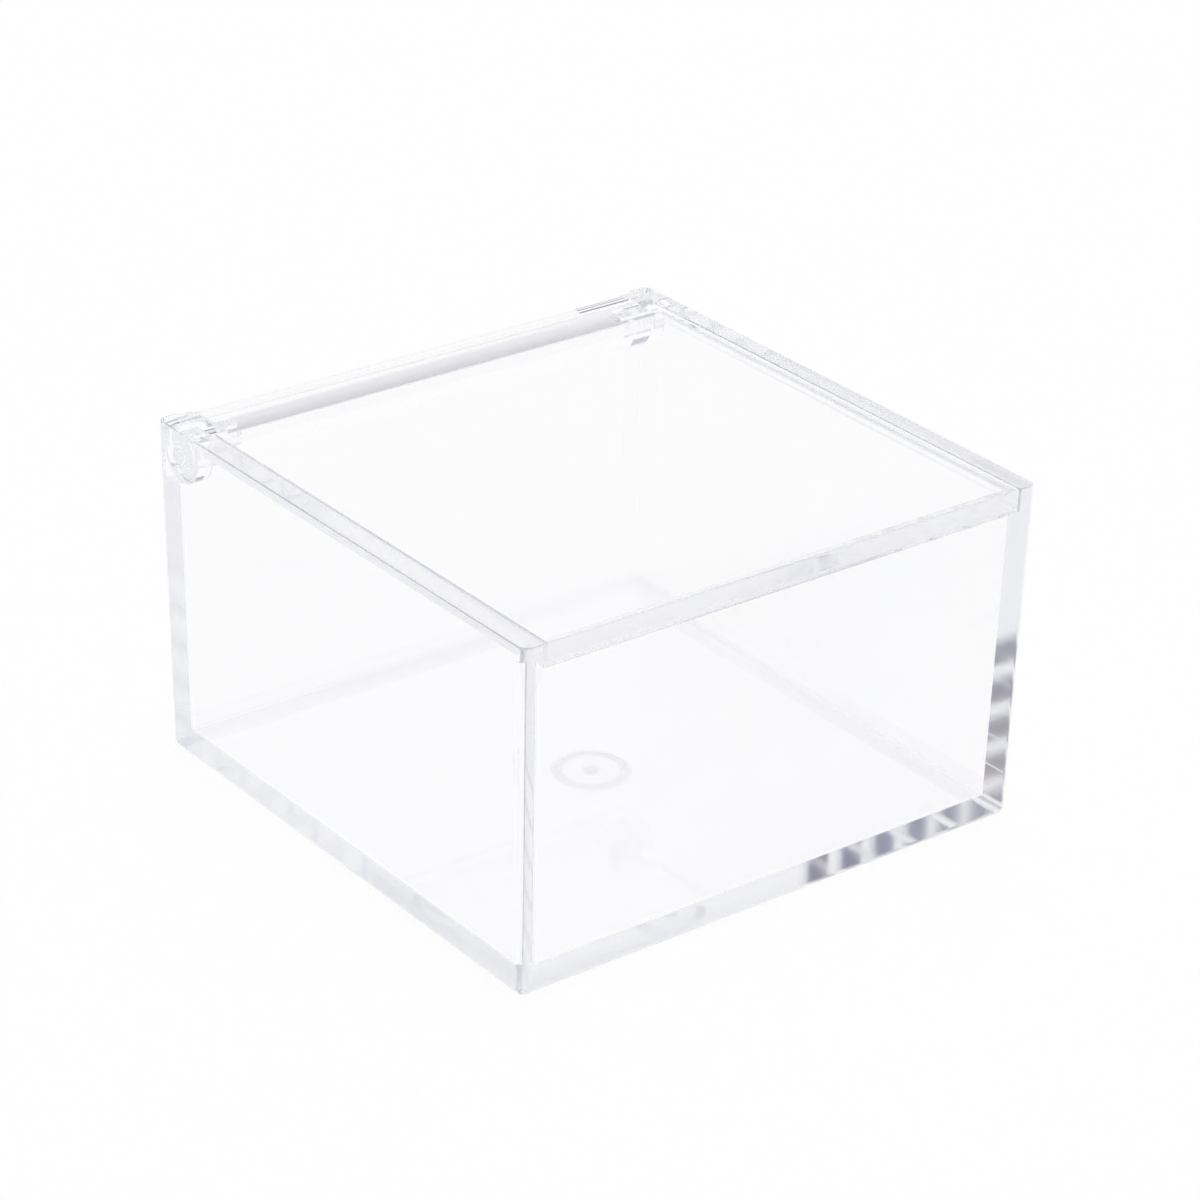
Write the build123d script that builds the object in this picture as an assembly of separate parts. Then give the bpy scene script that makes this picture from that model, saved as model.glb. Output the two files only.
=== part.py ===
"""Clear acrylic storage box with a hinged lid.

The box is one moulding that widens a little towards the top. The lid lies between the side walls, flush with
their tops, and turns on two short pins behind it.
X runs along the front, Y from the front to the hinge and Z up. The origin is the middle of the underside.
"""
from build123d import *
import os

# Overall size of the box, at its top
box_width = 80.0
box_depth = 80.0
box_height = 47.6

# Wall, floor and lid
wall_thickness = 3.0
floor_thickness = 3.0
lid_thickness = 3.0
draft_inset = 0.57  # how much further in each outer face stands at the base than at the top

# Rounded edges
outer_corner_radius = 1.3
inner_corner_radius = 0.6
base_edge_radius = 1.1
floor_edge_radius = 0.5
wall_end_radius = 0.6  # inner edges of the side walls, above the lowered front wall
rim_edge_radius = 0.25
lid_lower_edge_radius = 0.8
bar_back_corner_radius = 1.5
ear_back_corner_radius = 1.0

# Clearances round the lid
lid_side_gap = 0.35
lid_seat_gap = 0.15
bar_under_gap = 0.7
ear_end_gap = 0.3
ear_front_gap = 0.8

# Hinge
bar_radius = 4.0
ear_thickness = 2.0
pin_diameter = 3.0
pin_reach = 3.0  # how far each pin stands in the bar
pin_recess = 0.6  # how far each pin ends below the outer face
pin_chamfer = 0.3
pin_hole_clearance = 0.02  # the pins are bonded into the side walls
pin_running_clearance = 0.08
bore_end_gap = 0.5

# Moulding gate under the floor
gate_diameter = 10.5
gate_slope_width = 1.2  # width of the sloping ring inside the recess
gate_depth = 0.5
gate_edge_radius = 0.2
gate_stub_diameter = 2.0
gate_stub_height = 0.25

overrun = 5.0  # how far a cutting shape runs past what it cuts

# Places that follow from the sizes
top_half_width = box_width / 2
top_half_depth = box_depth / 2
inner_half_width = top_half_width - wall_thickness
inner_half_depth = top_half_depth - wall_thickness
lid_half_width = inner_half_width - lid_side_gap
ear_inner_face = inner_half_width - ear_thickness
bar_half_length = ear_inner_face - ear_end_gap
lid_underside = box_height - lid_thickness
front_wall_top = lid_underside - lid_seat_gap
axis_y = top_half_depth - bar_radius
axis_z = box_height - bar_radius
back_wall_top = axis_z - bar_radius - bar_under_gap
notch_y = axis_y - bar_radius - ear_front_gap


def inset_at(height):
    """How far in the outer faces stand at a height, because of the draft."""
    return draft_inset * (1 - height / box_height)


def tapered_prism(inset, radius, low, high):
    """Upright prism that follows the outer faces at a distance inside them, with rounded corners."""
    outlines = []
    for height in (low, high):
        reach = inset + inset_at(height)
        outline = RectangleRounded(box_width - 2 * reach, box_depth - 2 * reach, radius)
        outlines.append(Plane.XY.offset(height) * outline)
    return loft(outlines, ruled=True)


def opening_over_wall(side, low):
    """Space over the front wall (side -1) or the back wall (side 1), as wide as the cavity."""
    outlines = []
    for height in (low, box_height + overrun):
        half_width = inner_half_width - inset_at(height)
        length = overrun + wall_thickness + draft_inset + inner_corner_radius
        outline = Rectangle(2 * half_width, length)
        centre_y = side * (top_half_depth + overrun - length / 2)
        outlines.append(Plane.XY.offset(height) * Pos(0, centre_y) * outline)
    return loft(outlines, ruled=True)


def hinge_outline(back_corner_radius):
    """Profile of bar and ears in Y and Z: round in front and below, square up to the back and the top."""
    corner = Rectangle(bar_radius, bar_radius, align=(Align.MIN, Align.MIN))
    outline = Pos(axis_y, axis_z) * (Circle(bar_radius) + corner)
    rounded = outline.vertices().sort_by(lambda v: v.X + v.Y)[-1]
    return fillet(rounded, back_corner_radius)


def along_x(outline, start, end):
    """Extrude a profile, drawn in Y and Z, from one X to another."""
    return extrude(Plane.YZ.offset(start) * outline, end - start)


def rod_along_x(diameter, start, end):
    """Round rod on the hinge axis."""
    return along_x(Pos(axis_y, axis_z) * Circle(diameter / 2), start, end)


def outer_block():
    """Outside of the box as a solid block, with its base edge rounded."""
    block = tapered_prism(0, outer_corner_radius, 0, box_height)
    return fillet(block.edges().group_by(Axis.Z)[0], base_edge_radius)


def cavity():
    """Inside of the box, with its floor edge rounded."""
    space = tapered_prism(wall_thickness, inner_corner_radius, floor_thickness, box_height + overrun)
    return fillet(space.edges().group_by(Axis.Z)[0], floor_edge_radius)


def hinge_ear(side):
    """Thicker place inside a side wall, which the hinge pin goes through. side is -1 for left, 1 for right."""
    outline = hinge_outline(ear_back_corner_radius)
    root = inner_half_width + wall_thickness / 2
    start, end = sorted((side * ear_inner_face, side * root))
    return along_x(outline, start, end)


def gate_recess():
    """Shallow recess under the floor with a sloping side, and the stub of the moulding gate left standing in it."""
    mouth = gate_diameter / 2
    recess = Cone(mouth, mouth - gate_slope_width, gate_depth, align=(Align.CENTER, Align.CENTER, Align.MIN))
    recess = fillet(recess.edges().group_by(Axis.Z)[-1], gate_edge_radius)
    stub = Cylinder(gate_stub_diameter / 2, gate_stub_height, align=(Align.CENTER, Align.CENTER, Align.MAX))
    return recess - Pos(0, 0, gate_depth) * stub


def is_wall_end_edge(edge):
    """Whether an edge is one of the upright ones inside the side walls, at their front ends."""
    middle = edge.center()
    upright = edge.bounding_box().size.Z > lid_thickness / 2
    at_inner_face = abs(abs(middle.X) - inner_half_width) < wall_end_radius
    return upright and at_inner_face and middle.Z > front_wall_top and middle.Y < -inner_half_depth


def box_body():
    """Box as one moulding: walls, floor, hinge ears and gate recess."""
    body = outer_block() - cavity()
    body -= opening_over_wall(-1, front_wall_top)
    body -= opening_over_wall(1, back_wall_top)
    body = fillet(body.edges().filter_by(is_wall_end_edge), wall_end_radius)
    body = fillet(body.edges().group_by(Axis.Z)[-1], rim_edge_radius)
    for side in (-1, 1):
        body += hinge_ear(side)
    hole = rod_along_x(pin_diameter + 2 * pin_hole_clearance, -box_width, box_width)
    body -= hole
    return body - gate_recess()


def lid():
    """Lid plate and hinge bar as one moulding, with a blind bore in each end of the bar."""
    plate_depth = notch_y + top_half_depth
    plate = Pos(0, -top_half_depth, lid_underside) * Box(
        2 * lid_half_width, plate_depth, lid_thickness, align=(Align.CENTER, Align.MIN, Align.MIN)
    )
    for level, radius in ((0, lid_lower_edge_radius), (-1, rim_edge_radius)):
        front_and_sides = plate.edges().group_by(Axis.Z)[level].sort_by(Axis.Y)[:-1]
        plate = fillet(front_and_sides, radius)
    neck = Pos(axis_y, lid_underside) * Rectangle(
        axis_y - notch_y + bar_radius, lid_thickness, align=(Align.MAX, Align.MIN)
    )
    outline = hinge_outline(bar_back_corner_radius) + neck
    bar = along_x(outline, -bar_half_length, bar_half_length)
    moulding = plate + bar
    for side in (-1, 1):
        start, end = sorted((side * (bar_half_length - pin_reach - bore_end_gap), side * box_width))
        moulding -= rod_along_x(pin_diameter + 2 * pin_running_clearance, start, end)
    return moulding


def hinge_pin(side):
    """Short round pin through a side wall and its ear into the bar."""
    start, end = sorted((side * (bar_half_length - pin_reach), side * (top_half_width - pin_recess)))
    pin = rod_along_x(pin_diameter, start, end)
    return chamfer(pin.edges(), pin_chamfer)


parts = {
    "box_body": box_body(),
    "lid": lid(),
    "hinge_pin_left": hinge_pin(-1),
    "hinge_pin_right": hinge_pin(1),
}

os.makedirs("parts", exist_ok=True)
for name, shape in parts.items():
    export_step(shape, f"parts/{name}.step")
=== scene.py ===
"""Clear acrylic storage box with a hinged lid: materials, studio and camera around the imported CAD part.

Everything is in metres, in the frame of the CAD part: X along the front, Y from the front to the hinge and
Z up, with the origin in the middle of the underside. The four CAD pieces keep their shapes and are dressed in
clear acrylic. The only surface made here is the floor.
"""

import math

import bpy
import numpy as np
from bpy.props import FloatProperty, FloatVectorProperty, PointerProperty
from mathutils import Matrix, Vector

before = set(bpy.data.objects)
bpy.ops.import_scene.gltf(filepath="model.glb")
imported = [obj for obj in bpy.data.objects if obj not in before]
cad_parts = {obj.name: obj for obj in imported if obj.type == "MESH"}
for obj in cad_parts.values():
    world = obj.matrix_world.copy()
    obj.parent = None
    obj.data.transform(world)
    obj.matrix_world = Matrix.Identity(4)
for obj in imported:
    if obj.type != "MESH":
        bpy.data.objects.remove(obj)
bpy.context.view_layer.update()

bl_info = {
    "name": "Clear Acrylic Box",
    "version": (1, 0, 0),
    "blender": (4, 5, 0),
    "location": "3D Viewport > Sidebar > Acrylic Box",
    "description": "Dresses a clear acrylic storage box with a hinged lid, and sets up its studio and camera",
    "category": "Object",
}

WHITE = (1.0, 1.0, 1.0)

SURFACE_GROUP = "Moulded acrylic surface"
PATCHES_PER_RIPPLE = 1.7
HAZE_START, HAZE_FULL = 0.5, 0.8  # levels of the patches' noise
SCRATCH_START, SCRATCH_FULL = 0.70, 0.74  # levels of the scratches' noise
SCRATCH_WAYS = ((0.4, (1.0, 0.03, 1.0)), (-0.9, (0.05, 1.0, 1.0)))  # turn, and scale, small along them
SCRATCH_TILT = (0.3, 0.5, 1.0)  # shares of the turn about X, Y and Z
PALER_SHARE = 0.3  # of white in the surface's colour, times the patches' noise

BACK_EDGE_MARGIN = 0.001  # how far inside the back wall's inner face its top edge may start
BACK_EDGE_RISE = 0.0006  # from the foot of the rounding to above the lowered top edge

FLOOR_RINGS, FLOOR_SPOKES = 24, 96
INNERMOST_RING = 0.02  # its share of the floor's radius, before cubing
FLOOR_MOTTLES = 9.0  # per metre
FLOOR_MOTTLE_LEVEL = 0.99  # of the darker places, as a share of the floor's colour

DARK_SIDE_SOFTNESS = 0.08  # of its half angle, on both sides of its edge
LIGHT_BOUNCES = 160  # light goes round many times inside thick clear acrylic
DIFFUSE_BOUNCES = 8
PICTURE_WIDTH = 36.0  # of the camera, in millimetres
NEAREST, FARTHEST = 0.01, 20.0  # what the camera sees, in metres


# Sizes and colours

class AcrylicLook(bpy.types.PropertyGroup):
    """Colours and surface quality of the clear acrylic."""

    tint: FloatVectorProperty(
        name="Tint",
        description="Colour that light keeps when it crosses a surface of the box or the lid",
        subtype="COLOR",
        size=3,
        min=0.0,
        max=1.0,
        default=(0.996, 0.996, 1.0),
    )
    pin_tint: FloatVectorProperty(
        name="Pin tint",
        description="Colour that light keeps when it crosses a surface of a hinge pin",
        subtype="COLOR",
        size=3,
        min=0.0,
        max=1.0,
        default=(0.97, 0.97, 0.985),
    )
    depth_colour: FloatVectorProperty(
        name="Depth colour",
        description="Colour that light takes on along its way through thick acrylic",
        subtype="COLOR",
        size=3,
        min=0.0,
        max=1.0,
        default=(0.73, 0.74, 0.80),
    )
    depth_density: FloatProperty(
        name="Depth density",
        description="Loss of light per metre where the depth colour is zero, and none where it is one",
        min=0.0,
        default=5.0,
    )
    refraction: FloatProperty(
        name="Refractive index",
        description="Index of refraction of acrylic",
        min=1.0,
        max=2.0,
        default=1.49,
    )
    least_roughness: FloatProperty(
        name="Least roughness",
        description="Roughness of the clearest places of the surface",
        subtype="FACTOR",
        min=0.0,
        max=1.0,
        default=0.045,
    )
    most_roughness: FloatProperty(
        name="Most roughness",
        description="Roughness of the hazy patches and fine scratches",
        subtype="FACTOR",
        min=0.0,
        max=1.0,
        default=0.07,
    )
    ripple_size: FloatProperty(
        name="Ripple size",
        description="Distance between the faint ripples left by moulding",
        unit="LENGTH",
        min=0.001,
        default=0.018,
    )
    ripple_height: FloatProperty(
        name="Ripple height",
        description="Height of the faint ripples left by moulding",
        unit="LENGTH",
        min=0.0,
        default=0.00001,
    )
    scratch_size: FloatProperty(
        name="Scratch size",
        description="Distance between the fine scratches left by handling",
        unit="LENGTH",
        min=0.0001,
        default=0.004,
    )
    sawn_roughness: FloatProperty(
        name="Sawn roughness",
        description="Roughness of the sawn outer ends of the hinge pins",
        subtype="FACTOR",
        min=0.0,
        max=1.0,
        default=0.6,
    )
    sawn_reach: FloatProperty(
        name="Sawn reach",
        description="Distance from the middle of the box beyond which a hinge pin is sawn matt",
        unit="LENGTH",
        min=0.0,
        default=0.0390,
    )
    # Painted shade: this grey on the back wall's lowered top edge stands in for the shade under the hinge
    # bar, darkest at the inner corner.
    back_edge_painted_shade: FloatVectorProperty(
        name="Back edge tint",
        description="Colour that light keeps at the inner corner of the back wall's lowered top edge",
        subtype="COLOR",
        size=3,
        min=0.0,
        max=1.0,
        default=(0.40, 0.40, 0.43),
    )
    back_edge_roughness: FloatProperty(
        name="Back edge roughness",
        description="Roughness of the grain on the back wall's lowered top edge, under the hinge bar",
        subtype="FACTOR",
        min=0.0,
        max=1.0,
        default=0.4,
    )
    back_edge_height: FloatProperty(
        name="Back edge height",
        description="Height at which the rounding below the back wall's lowered top edge starts",
        unit="LENGTH",
        min=0.0,
        default=0.03865,
    )
    back_edge_inside: FloatProperty(
        name="Back edge inside",
        description="Distance of the back wall's inner face from the middle of the box",
        unit="LENGTH",
        min=0.0,
        default=0.0369,
    )
    back_edge_outside: FloatProperty(
        name="Back edge outside",
        description="Distance of the back wall's outer face from the middle of the box",
        unit="LENGTH",
        min=0.0,
        default=0.0399,
    )
    back_edge_half_length: FloatProperty(
        name="Back edge half length",
        description="Distance from the middle of the box to the inner face of a hinge ear",
        unit="LENGTH",
        min=0.0,
        default=0.0349,
    )
    gate_tint: FloatVectorProperty(
        name="Gate tint",
        description="Colour that light keeps at the matt ring and stub of the gate recess under the floor",
        subtype="COLOR",
        size=3,
        min=0.0,
        max=1.0,
        default=(0.87, 0.87, 0.90),
    )
    gate_roughness: FloatProperty(
        name="Gate roughness",
        description="Roughness of the ring and the stub of the gate recess",
        subtype="FACTOR",
        min=0.0,
        max=1.0,
        default=0.5,
    )
    gate_ring_inside: FloatProperty(
        name="Gate ring inside",
        description="Inner radius of the gate recess's matt ring",
        unit="LENGTH",
        min=0.0,
        default=0.0039,
    )
    gate_ring_outside: FloatProperty(
        name="Gate ring outside",
        description="Outer radius of the gate recess's matt ring",
        unit="LENGTH",
        min=0.0,
        default=0.0053,
    )
    gate_stub_radius: FloatProperty(
        name="Gate stub radius",
        description="Radius of the stub in the middle of the gate recess",
        unit="LENGTH",
        min=0.0,
        default=0.0011,
    )
    gate_height: FloatProperty(
        name="Gate height",
        description="Height above the table below which the gate recess lies",
        unit="LENGTH",
        min=0.0,
        default=0.0006,
    )


class Studio(bpy.types.PropertyGroup):
    """Floor, light and camera."""

    floor_radius: FloatProperty(
        name="Floor radius",
        description="Radius of the round floor",
        unit="LENGTH",
        min=0.5,
        default=4.0,
    )
    floor_colour: FloatVectorProperty(
        name="Floor colour",
        description="Colour of the floor",
        subtype="COLOR",
        size=3,
        min=0.0,
        max=1.0,
        default=(1.0, 1.0, 1.0),
    )
    floor_gap: FloatProperty(
        name="Floor gap",
        description="Air between the floor and the underside of the box",
        unit="LENGTH",
        min=0.00001,
        default=0.0002,
    )
    floor_glow: FloatProperty(
        name="Floor whiteness",
        description="Share of plain white that the camera sees of the floor, beside its lit colour",
        subtype="FACTOR",
        min=0.0,
        max=1.0,
        default=0.85,
    )
    floor_glow_through: FloatProperty(
        name="Floor whiteness through acrylic",
        description="Share of plain white that the floor shows in reflections and through clear acrylic",
        subtype="FACTOR",
        min=0.0,
        max=1.0,
        default=0.5,
    )
    room_colour: FloatVectorProperty(
        name="Room colour",
        description="Colour of the studio round and above the box",
        subtype="COLOR",
        size=3,
        min=0.0,
        max=1.0,
        default=(1.0, 1.0, 1.0),
    )
    dark_side: FloatVectorProperty(
        name="Dark side",
        description="Azimuth from the back towards the right, elevation, and half angle of the dark side",
        subtype="EULER",
        unit="ROTATION",
        size=3,
        default=(math.radians(-45.0), math.radians(32.0), math.radians(16.0)),
    )
    dark_colour: FloatVectorProperty(
        name="Dark side colour",
        description="Colour of the dark side of the studio",
        subtype="COLOR",
        size=3,
        min=0.0,
        max=1.0,
        default=(0.0, 0.01, 0.13),
    )
    bar_colour: FloatVectorProperty(
        name="Dark side's pale bars",
        description="Colour between the dark bars of the studio's dark side",
        subtype="COLOR",
        size=3,
        min=0.0,
        max=1.0,
        default=(0.84, 0.83, 0.81),
    )
    bar_pitch: FloatProperty(
        name="Bar pitch",
        description="Distance between the dark bars, as an angle seen from the box",
        subtype="ANGLE",
        min=0.01,
        default=math.radians(4.3),
    )
    bar_width: FloatProperty(
        name="Bar width",
        description="How much wider the dark bars are than the pale ones, where 0 makes them alike",
        subtype="FACTOR",
        min=0.0,
        max=0.5,
        default=0.2,
    )
    fringe: FloatProperty(
        name="Fringe",
        description="Shift of red and of blue against green in the bars, where a whole turn is a bar pitch",
        subtype="ANGLE",
        default=math.radians(-22.0),
    )
    camera_azimuth: FloatProperty(
        name="Camera azimuth",
        description="Angle of the camera round the box, from the front towards its right side",
        subtype="ANGLE",
        default=math.radians(-37.869),
    )
    camera_elevation: FloatProperty(
        name="Camera elevation",
        description="Angle of the camera above the floor",
        subtype="ANGLE",
        default=math.radians(26.512),
    )
    camera_roll: FloatProperty(
        name="Camera roll",
        description="Turn of the camera about its line of sight",
        subtype="ANGLE",
        default=math.radians(1.335),
    )
    camera_place: FloatVectorProperty(
        name="Camera place",
        description="Where the camera stands",
        subtype="TRANSLATION",
        unit="LENGTH",
        size=3,
        default=(-0.2847, -0.3686, 0.2587),
    )
    camera_lens: FloatProperty(
        name="Camera lens",
        description="Focal length in millimetres, on a square picture 36 mm wide",
        min=10.0,
        default=120.60,
    )


# Shared steps

def ring_faces(rings, spokes):
    """Quads between rings of points, numbered ring by ring. A ring's last point joins its first."""
    ring, spoke = np.meshgrid(np.arange(rings - 1), np.arange(spokes), indexing="ij")
    beside = (spoke + 1) % spokes
    here, outside = ring * spokes, (ring + 1) * spokes
    return np.stack((here + spoke, here + beside, outside + beside, outside + spoke), axis=-1).reshape(-1, 4)


def new_material(name):
    """An empty node material, and its nodes and links."""
    material = bpy.data.materials.new(name)
    material.use_nodes = True
    material.node_tree.nodes.clear()
    return material, material.node_tree.nodes, material.node_tree.links


def feed(links, socket, part):
    """Links an input to another node's output, or sets it to a value, where a colour has three parts."""
    if isinstance(part, bpy.types.NodeSocket):
        links.new(part, socket)
    elif socket.type == "RGBA":
        socket.default_value = (*part, 1.0)
    else:
        socket.default_value = part


def math_result(nodes, links, operation, *parts):
    """The output of a Math node, whose inputs are sockets or numbers."""
    node = nodes.new("ShaderNodeMath")
    node.operation = operation
    for socket, part in zip(node.inputs, parts):
        feed(links, socket, part)
    return node.outputs[0]


def mixed(nodes, links, kind, share, below, above):
    """The output of a Mix node for numbers (FLOAT) or colours (RGBA): below where the share is zero, and
    above where it is one. Each is a value or a socket."""
    mix = nodes.new("ShaderNodeMix")
    mix.data_type = kind
    for name, part in (("Factor", share), ("A", below), ("B", above)):
        feed(links, mix.inputs[name], part)
    return mix.outputs["Result"]


def ramped(nodes, links, socket, start, full, interpolation="LINEAR"):
    """How far a number has come from its start to where it is full, from zero to one."""
    ramp = nodes.new("ShaderNodeMapRange")
    ramp.interpolation_type = interpolation
    ramp.inputs["From Min"].default_value = start
    ramp.inputs["From Max"].default_value = full
    links.new(socket, ramp.inputs["Value"])
    return ramp.outputs["Result"]


def noise(nodes, links, place, scale, detail):
    """The level of noise over some coordinates. Its scale is a number or a socket."""
    node = nodes.new("ShaderNodeTexNoise")
    node.inputs["Detail"].default_value = detail
    links.new(place, node.inputs["Vector"])
    feed(links, node.inputs["Scale"], scale)
    return node.outputs["Fac"]


# Materials

def acrylic_surface_group():
    """Node group for the surface of moulded acrylic.

    It gives a colour with a slight change from place to place, a roughness that goes from its least to its
    most in hazy patches and fine scratches, and the height of faint moulding ripples.
    """
    group = bpy.data.node_groups.new(SURFACE_GROUP, "ShaderNodeTree")
    for name, kind, value in (
        ("Tint", "NodeSocketColor", (*WHITE, 1.0)),
        ("Least roughness", "NodeSocketFloat", 0.05),
        ("Most roughness", "NodeSocketFloat", 0.10),
        ("Ripples per metre", "NodeSocketFloat", 60.0),
        ("Scratches per metre", "NodeSocketFloat", 250.0),
    ):
        group.interface.new_socket(name=name, in_out="INPUT", socket_type=kind).default_value = value
    for name, kind in (
        ("Color", "NodeSocketColor"),
        ("Roughness", "NodeSocketFloat"),
        ("Height", "NodeSocketFloat"),
    ):
        group.interface.new_socket(name=name, in_out="OUTPUT", socket_type=kind)
    nodes, links = group.nodes, group.links
    given = nodes.new("NodeGroupInput").outputs
    result = nodes.new("NodeGroupOutput").inputs
    place = nodes.new("ShaderNodeTexCoord").outputs["Object"]

    links.new(noise(nodes, links, place, given["Ripples per metre"], detail=1.0), result["Height"])

    patches_per_metre = math_result(nodes, links, "MULTIPLY", given["Ripples per metre"], PATCHES_PER_RIPPLE)
    patches = noise(nodes, links, place, patches_per_metre, detail=3.0)
    worn = ramped(nodes, links, patches, HAZE_START, HAZE_FULL)
    for turn, stretch in SCRATCH_WAYS:
        turned = nodes.new("ShaderNodeMapping")
        turned.inputs["Rotation"].default_value = [share * turn for share in SCRATCH_TILT]
        turned.inputs["Scale"].default_value = stretch
        links.new(place, turned.inputs["Vector"])
        lines = noise(nodes, links, turned.outputs["Vector"], given["Scratches per metre"], detail=2.0)
        thin = ramped(nodes, links, lines, SCRATCH_START, SCRATCH_FULL)
        worn = math_result(nodes, links, "MAXIMUM", worn, thin)
    roughness = mixed(nodes, links, "FLOAT", worn, given["Least roughness"], given["Most roughness"])
    links.new(roughness, result["Roughness"])

    share = math_result(nodes, links, "MULTIPLY", patches, PALER_SHARE)
    links.new(mixed(nodes, links, "RGBA", share, given["Tint"], WHITE), result["Color"])
    return group


def acrylic_material(name, tint, look, finish=None):
    """Clear acrylic: a refracting surface from the shared group, and a slight loss of light on the way.

    A finish gives the colour and roughness sockets of one piece's own matt places, in place of the group's.
    """
    material, nodes, links = new_material(name)
    surface = nodes.new("ShaderNodeGroup")
    surface.node_tree = shared_acrylic_group()
    surface.inputs["Tint"].default_value = (*tint, 1.0)
    surface.inputs["Least roughness"].default_value = look.least_roughness
    surface.inputs["Most roughness"].default_value = look.most_roughness
    surface.inputs["Ripples per metre"].default_value = 1.0 / look.ripple_size
    surface.inputs["Scratches per metre"].default_value = 1.0 / look.scratch_size
    shader = nodes.new("ShaderNodeBsdfPrincipled")
    shader.inputs["Metallic"].default_value = 0.0
    shader.inputs["Transmission Weight"].default_value = 1.0
    shader.inputs["IOR"].default_value = look.refraction
    colour, roughness = surface.outputs["Color"], surface.outputs["Roughness"]
    if finish:
        colour, roughness = finish(nodes, links, look, colour, roughness)
    links.new(colour, shader.inputs["Base Color"])
    links.new(roughness, shader.inputs["Roughness"])
    ripples = nodes.new("ShaderNodeBump")
    ripples.inputs["Distance"].default_value = look.ripple_height
    links.new(surface.outputs["Height"], ripples.inputs["Height"])
    links.new(ripples.outputs["Normal"], shader.inputs["Normal"])
    inside = nodes.new("ShaderNodeVolumeAbsorption")
    inside.inputs["Color"].default_value = (*look.depth_colour, 1.0)
    inside.inputs["Density"].default_value = look.depth_density
    output = nodes.new("ShaderNodeOutputMaterial")
    links.new(shader.outputs["BSDF"], output.inputs["Surface"])
    links.new(inside.outputs["Volume"], output.inputs["Volume"])
    return material


def place_axes(nodes, links):
    """The three Object coordinates, the first without its sign, so that left and right are alike."""
    place = nodes.new("ShaderNodeTexCoord")
    axes = nodes.new("ShaderNodeSeparateXYZ")
    links.new(place.outputs["Object"], axes.inputs["Vector"])
    sideways = math_result(nodes, links, "ABSOLUTE", axes.outputs["X"])
    return sideways, axes.outputs["Y"], axes.outputs["Z"]


def within(nodes, links, *limits):
    """One where every given socket is above or below its limit, as its operation says, and zero elsewhere."""
    tests = [math_result(nodes, links, operation, socket, limit) for socket, operation, limit in limits]
    inside = tests[0]
    for test in tests[1:]:
        inside = math_result(nodes, links, "MULTIPLY", inside, test)
    return inside


def back_edge_grain_and_painted_shade(nodes, links, look, colour, roughness):
    """Fine grain on the back wall's lowered top edge, under the hinge bar, in its roughness, and painted
    shade in its colour:
    greyest at its inner corner and clear at its outer corner, standing in for the shade under the bar."""
    sideways, depth, height = place_axes(nodes, links)
    edge = within(
        nodes, links,
        (sideways, "LESS_THAN", look.back_edge_half_length),
        (depth, "GREATER_THAN", look.back_edge_inside - BACK_EDGE_MARGIN),
        (height, "GREATER_THAN", look.back_edge_height),
        (height, "LESS_THAN", look.back_edge_height + BACK_EDGE_RISE),
    )
    # Painted shade: grey at the inner corner, fading to the plain tint at the outer corner, in place of the
    # shade under the hinge bar.
    across = ramped(nodes, links, depth, look.back_edge_inside, look.back_edge_outside)
    grey = mixed(nodes, links, "RGBA", across, look.back_edge_painted_shade, look.tint)
    colour = mixed(nodes, links, "RGBA", edge, colour, grey)
    return colour, mixed(nodes, links, "FLOAT", edge, roughness, look.back_edge_roughness)


def matt_gate(nodes, links, look, colour, roughness):
    """Matt grey ring and stub of the gate recess. A place's distance from the middle is the root of X squared
    plus Y squared."""
    sideways, depth, height = place_axes(nodes, links)
    squares = [math_result(nodes, links, "POWER", axis, 2.0) for axis in (sideways, depth)]
    distance = math_result(nodes, links, "SQRT", math_result(nodes, links, "ADD", *squares))
    ring = within(
        nodes, links,
        (distance, "GREATER_THAN", look.gate_ring_inside),
        (distance, "LESS_THAN", look.gate_ring_outside),
        (height, "LESS_THAN", look.gate_height),
    )
    stub = within(
        nodes, links,
        (distance, "LESS_THAN", look.gate_stub_radius),
        (height, "LESS_THAN", look.gate_height),
    )
    gate = math_result(nodes, links, "MAXIMUM", ring, stub)
    colour = mixed(nodes, links, "RGBA", gate, colour, look.gate_tint)
    return colour, mixed(nodes, links, "FLOAT", gate, roughness, look.gate_roughness)


def box_finish(nodes, links, look, colour, roughness):
    """The box's two matt places, one after the other: the back wall's grainy top edge with its painted shade,
    and the gate recess.
    """
    colour, roughness = back_edge_grain_and_painted_shade(nodes, links, look, colour, roughness)
    return matt_gate(nodes, links, look, colour, roughness)


def sawn_ends(nodes, links, look, colour, roughness):
    """Matt sawn outer ends of the hinge pins."""
    sideways, _, _ = place_axes(nodes, links)
    end = within(nodes, links, (sideways, "GREATER_THAN", look.sawn_reach))
    return colour, mixed(nodes, links, "FLOAT", end, roughness, look.sawn_roughness)


def shared_acrylic_group():
    """The acrylic surface group, built once."""
    return bpy.data.node_groups.get(SURFACE_GROUP) or acrylic_surface_group()


def dress(node, material):
    """Gives every material slot of a CAD node its material."""
    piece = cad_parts[node]
    for place in piece.material_slots:
        place.material = material


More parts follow.
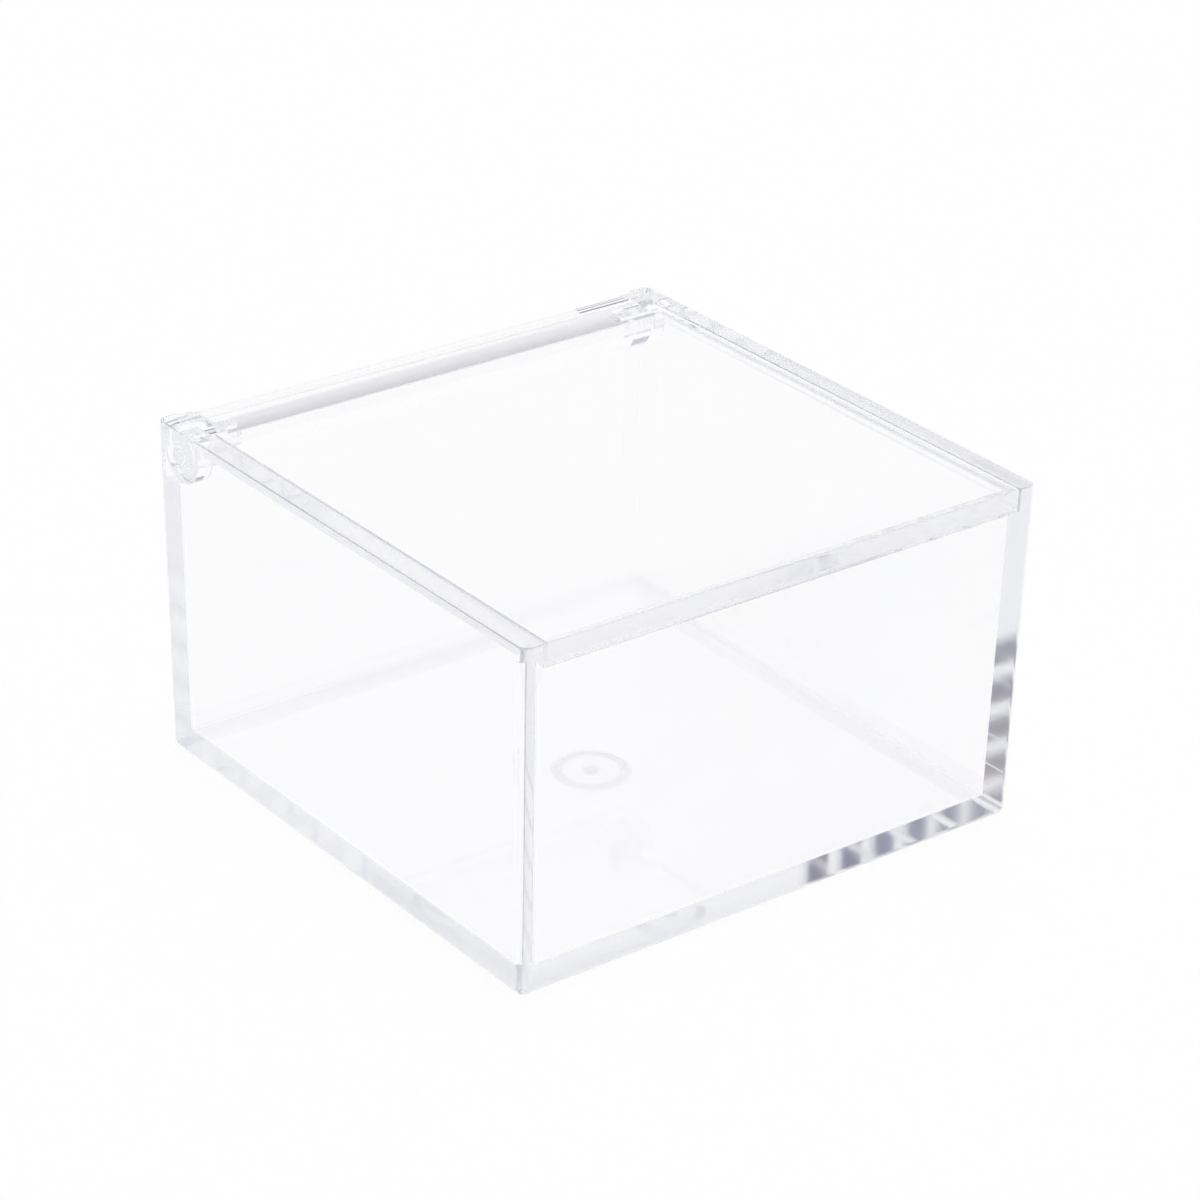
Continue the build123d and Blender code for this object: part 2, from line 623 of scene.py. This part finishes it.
def floor_material(studio):
    """Matt white floor. What the camera sees of it, past the box or through it, is part plain white, so its
    shadow is faint."""
    material, nodes, links = new_material("Matt white floor")
    place = nodes.new("ShaderNodeTexCoord").outputs["Object"]
    mottle = noise(nodes, links, place, FLOOR_MOTTLES, detail=4.0)
    darker = [FLOOR_MOTTLE_LEVEL * part for part in studio.floor_colour]
    matt = nodes.new("ShaderNodeBsdfPrincipled")
    matt.inputs["Roughness"].default_value = 0.9
    matt.inputs["Specular IOR Level"].default_value = 0.0
    links.new(mixed(nodes, links, "RGBA", mottle, studio.floor_colour, darker), matt.inputs["Base Color"])
    white = nodes.new("ShaderNodeEmission")
    white.inputs["Color"].default_value = (*WHITE, 1.0)
    white.inputs["Strength"].default_value = 1.0
    both = nodes.new("ShaderNodeMixShader")
    links.new(seen_share(nodes, links, studio.floor_glow, studio.floor_glow_through), both.inputs["Fac"])
    links.new(matt.outputs["BSDF"], both.inputs[1])
    links.new(white.outputs["Emission"], both.inputs[2])
    output = nodes.new("ShaderNodeOutputMaterial")
    links.new(both.outputs["Shader"], output.inputs["Surface"])
    return material


def seen_share(nodes, links, direct, through):
    """The direct share for rays from the camera, the other one for rays from a reflection or through clear
    material, and zero for rays that only light."""
    path = nodes.new("ShaderNodeLightPath").outputs
    bent = math_result(nodes, links, "MAXIMUM", path["Is Glossy Ray"], path["Is Transmission Ray"])
    bent_share = math_result(nodes, links, "MULTIPLY", bent, through)
    straight_share = math_result(nodes, links, "MULTIPLY", path["Is Camera Ray"], direct)
    return math_result(nodes, links, "MAXIMUM", bent_share, straight_share)


def direction(azimuth, elevation):
    """One unit along an azimuth, from the back towards the right, and an elevation."""
    flat = math.cos(elevation)
    return math.sin(azimuth) * flat, math.cos(azimuth) * flat, math.sin(elevation)


# Operators

class BOX_OT_dress_body(bpy.types.Operator):
    """Dress the box body in clear acrylic"""

    bl_idname = "acrylic_box.dress_body"
    bl_label = "Box Body"

    def execute(self, context):
        look = context.scene.acrylic_look
        material = acrylic_material("Clear acrylic of the box", look.tint, look, box_finish)
        dress("box_body", material)
        return {"FINISHED"}


class BOX_OT_dress_lid(bpy.types.Operator):
    """Dress the lid with its hinge bar in clear acrylic"""

    bl_idname = "acrylic_box.dress_lid"
    bl_label = "Lid"

    def execute(self, context):
        look = context.scene.acrylic_look
        material = acrylic_material("Clear acrylic of the lid", look.tint, look)
        dress("lid", material)
        return {"FINISHED"}


class BOX_OT_dress_pins(bpy.types.Operator):
    """Dress the two hinge pins in clear acrylic rod"""

    bl_idname = "acrylic_box.dress_pins"
    bl_label = "Hinge Pins"

    def execute(self, context):
        look = context.scene.acrylic_look
        material = acrylic_material("Clear acrylic of the pins", look.pin_tint, look, sawn_ends)
        dress("hinge_pin_left", material)
        dress("hinge_pin_right", material)
        return {"FINISHED"}


def round_floor(radius, height, rings=FLOOR_RINGS, spokes=FLOOR_SPOKES):
    """A flat round floor: points at growing distances from the middle, with the distance cubed so that the
    rings lie closer together near the box, each ring going once round the middle."""
    distance = radius * np.linspace(INNERMOST_RING, 1.0, rings)[:, None] ** 3
    angle = np.linspace(0.0, 2.0 * math.pi, spokes, endpoint=False)[None, :]
    level = np.full((rings, spokes), height)
    points = np.stack((distance * np.cos(angle), distance * np.sin(angle), level), axis=-1).reshape(-1, 3)
    points = np.vstack((points, (0.0, 0.0, height)))
    middle = len(points) - 1
    turn = np.arange(spokes)
    hub = np.stack((np.full(spokes, middle), turn, (turn + 1) % spokes), axis=-1)
    return points, ring_faces(rings, spokes)[:, ::-1], hub


class BOX_OT_set_studio(bpy.types.Operator):
    """Set up the floor, the light and the camera"""

    bl_idname = "acrylic_box.set_studio"
    bl_label = "Studio"

    def execute(self, context):
        studio = context.scene.studio
        scene = context.scene
        points, rings, hub = round_floor(studio.floor_radius, -studio.floor_gap)
        mesh = bpy.data.meshes.new("studio_floor")
        mesh.from_pydata(points.tolist(), [], rings.tolist() + hub.tolist())
        floor = bpy.data.objects.new("studio_floor", mesh)
        scene.collection.objects.link(floor)
        floor.data.materials.append(floor_material(studio))
        self.set_world(scene, studio)
        self.set_camera(scene, studio)
        scene.view_settings.view_transform = "Standard"
        scene.cycles.max_bounces = LIGHT_BOUNCES
        scene.cycles.glossy_bounces = LIGHT_BOUNCES
        scene.cycles.transmission_bounces = LIGHT_BOUNCES
        scene.cycles.diffuse_bounces = DIFFUSE_BOUNCES
        scene.cycles.blur_glossy = 0.0
        scene.cycles.sampling_pattern = "TABULATED_SOBOL"
        return {"FINISHED"}

    def set_world(self, scene, studio):
        """Soft white light from all round, and one barred dark side behind the box to the left, which only
        shows in the edges of clear acrylic. The camera sees plain white."""
        world = bpy.data.worlds.new("Studio world")
        world.use_nodes = True
        nodes, links = world.node_tree.nodes, world.node_tree.links
        nodes.clear()
        place = nodes.new("ShaderNodeTexCoord")

        def along(way):
            """How far a ray's direction goes one way, as a dot product."""
            product = nodes.new("ShaderNodeVectorMath")
            product.operation = "DOT_PRODUCT"
            product.inputs[1].default_value = way
            links.new(place.outputs["Generated"], product.inputs[0])
            return product.outputs["Value"]

        azimuth, elevation, reach = studio.dark_side
        across = along((math.cos(azimuth), -math.sin(azimuth), 0.0))
        fringes = nodes.new("ShaderNodeCombineXYZ")
        for channel, lead in enumerate((-studio.fringe, 0.0, studio.fringe)):
            turn = math_result(nodes, links, "MULTIPLY_ADD", across, 2.0 * math.pi / studio.bar_pitch, lead)
            wave = math_result(nodes, links, "SINE", turn)
            open_part = math_result(nodes, links, "MULTIPLY_ADD", wave, 0.5, 0.5 - studio.bar_width)
            links.new(open_part, fringes.inputs[channel])
        bars = nodes.new("ShaderNodeMix")
        bars.data_type = "VECTOR"
        bars.factor_mode = "NON_UNIFORM"
        sockets = {socket.identifier: socket for socket in bars.inputs}
        links.new(fringes.outputs["Vector"], sockets["Factor_Vector"])
        sockets["A_Vector"].default_value = studio.dark_colour
        sockets["B_Vector"].default_value = studio.bar_colour
        outer, inner = (math.cos((1.0 + side * DARK_SIDE_SOFTNESS) * reach) for side in (1, -1))
        dark = ramped(nodes, links, along(direction(azimuth, elevation)), outer, inner, "SMOOTHSTEP")
        seen = nodes.new("ShaderNodeLightPath").outputs["Is Camera Ray"]
        colour = mixed(nodes, links, "RGBA", dark, studio.room_colour, bars.outputs[1])
        colour = mixed(nodes, links, "RGBA", seen, colour, WHITE)
        light = nodes.new("ShaderNodeBackground")
        links.new(colour, light.inputs["Color"])
        output = nodes.new("ShaderNodeOutputWorld")
        links.new(light.outputs["Background"], output.inputs["Surface"])
        scene.world = world

    def set_camera(self, scene, studio):
        """The camera looks along its azimuth and elevation, then rolls about its line of sight."""
        azimuth, elevation, roll = -studio.camera_azimuth, studio.camera_elevation, studio.camera_roll
        ahead = Vector(direction(azimuth, -elevation))
        level = Vector((math.cos(azimuth), -math.sin(azimuth), 0.0))
        above = level.cross(ahead)
        right = math.cos(roll) * level + math.sin(roll) * above
        up = -math.sin(roll) * level + math.cos(roll) * above
        data = bpy.data.cameras.new("Studio camera")
        data.lens = studio.camera_lens
        data.sensor_width = PICTURE_WIDTH
        data.clip_start = NEAREST
        data.clip_end = FARTHEST
        camera = bpy.data.objects.new("Studio camera", data)
        turned = Matrix((right, up, -ahead)).transposed()
        camera.matrix_world = Matrix.LocRotScale(Vector(studio.camera_place), turned, None)
        scene.collection.objects.link(camera)
        scene.camera = camera


class BOX_PT_panel(bpy.types.Panel):
    """Lists the steps that dress the box, with their sizes and colours"""

    bl_idname = "BOX_PT_panel"
    bl_label = "Clear Acrylic Box"
    bl_space_type = "VIEW_3D"
    bl_region_type = "UI"
    bl_category = "Acrylic Box"

    def draw(self, context):
        layout = self.layout
        for settings in (context.scene.acrylic_look, context.scene.studio):
            column = layout.column(align=True)
            for name in settings.__annotations__:
                column.prop(settings, name)
        for step in STEPS:
            layout.operator(step.bl_idname)


STEPS = (BOX_OT_dress_body, BOX_OT_dress_lid, BOX_OT_dress_pins, BOX_OT_set_studio)
CLASSES = (AcrylicLook, Studio, *STEPS, BOX_PT_panel)


def register():
    for cls in CLASSES:
        bpy.utils.register_class(cls)
    bpy.types.Scene.acrylic_look = PointerProperty(type=AcrylicLook)
    bpy.types.Scene.studio = PointerProperty(type=Studio)


def unregister():
    del bpy.types.Scene.studio
    del bpy.types.Scene.acrylic_look
    for cls in reversed(CLASSES):
        bpy.utils.unregister_class(cls)


def main():
    """Registers the classes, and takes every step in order."""
    register()
    bpy.ops.acrylic_box.dress_body()
    bpy.ops.acrylic_box.dress_lid()
    bpy.ops.acrylic_box.dress_pins()
    bpy.ops.acrylic_box.set_studio()


if __name__ == "__main__":
    main()
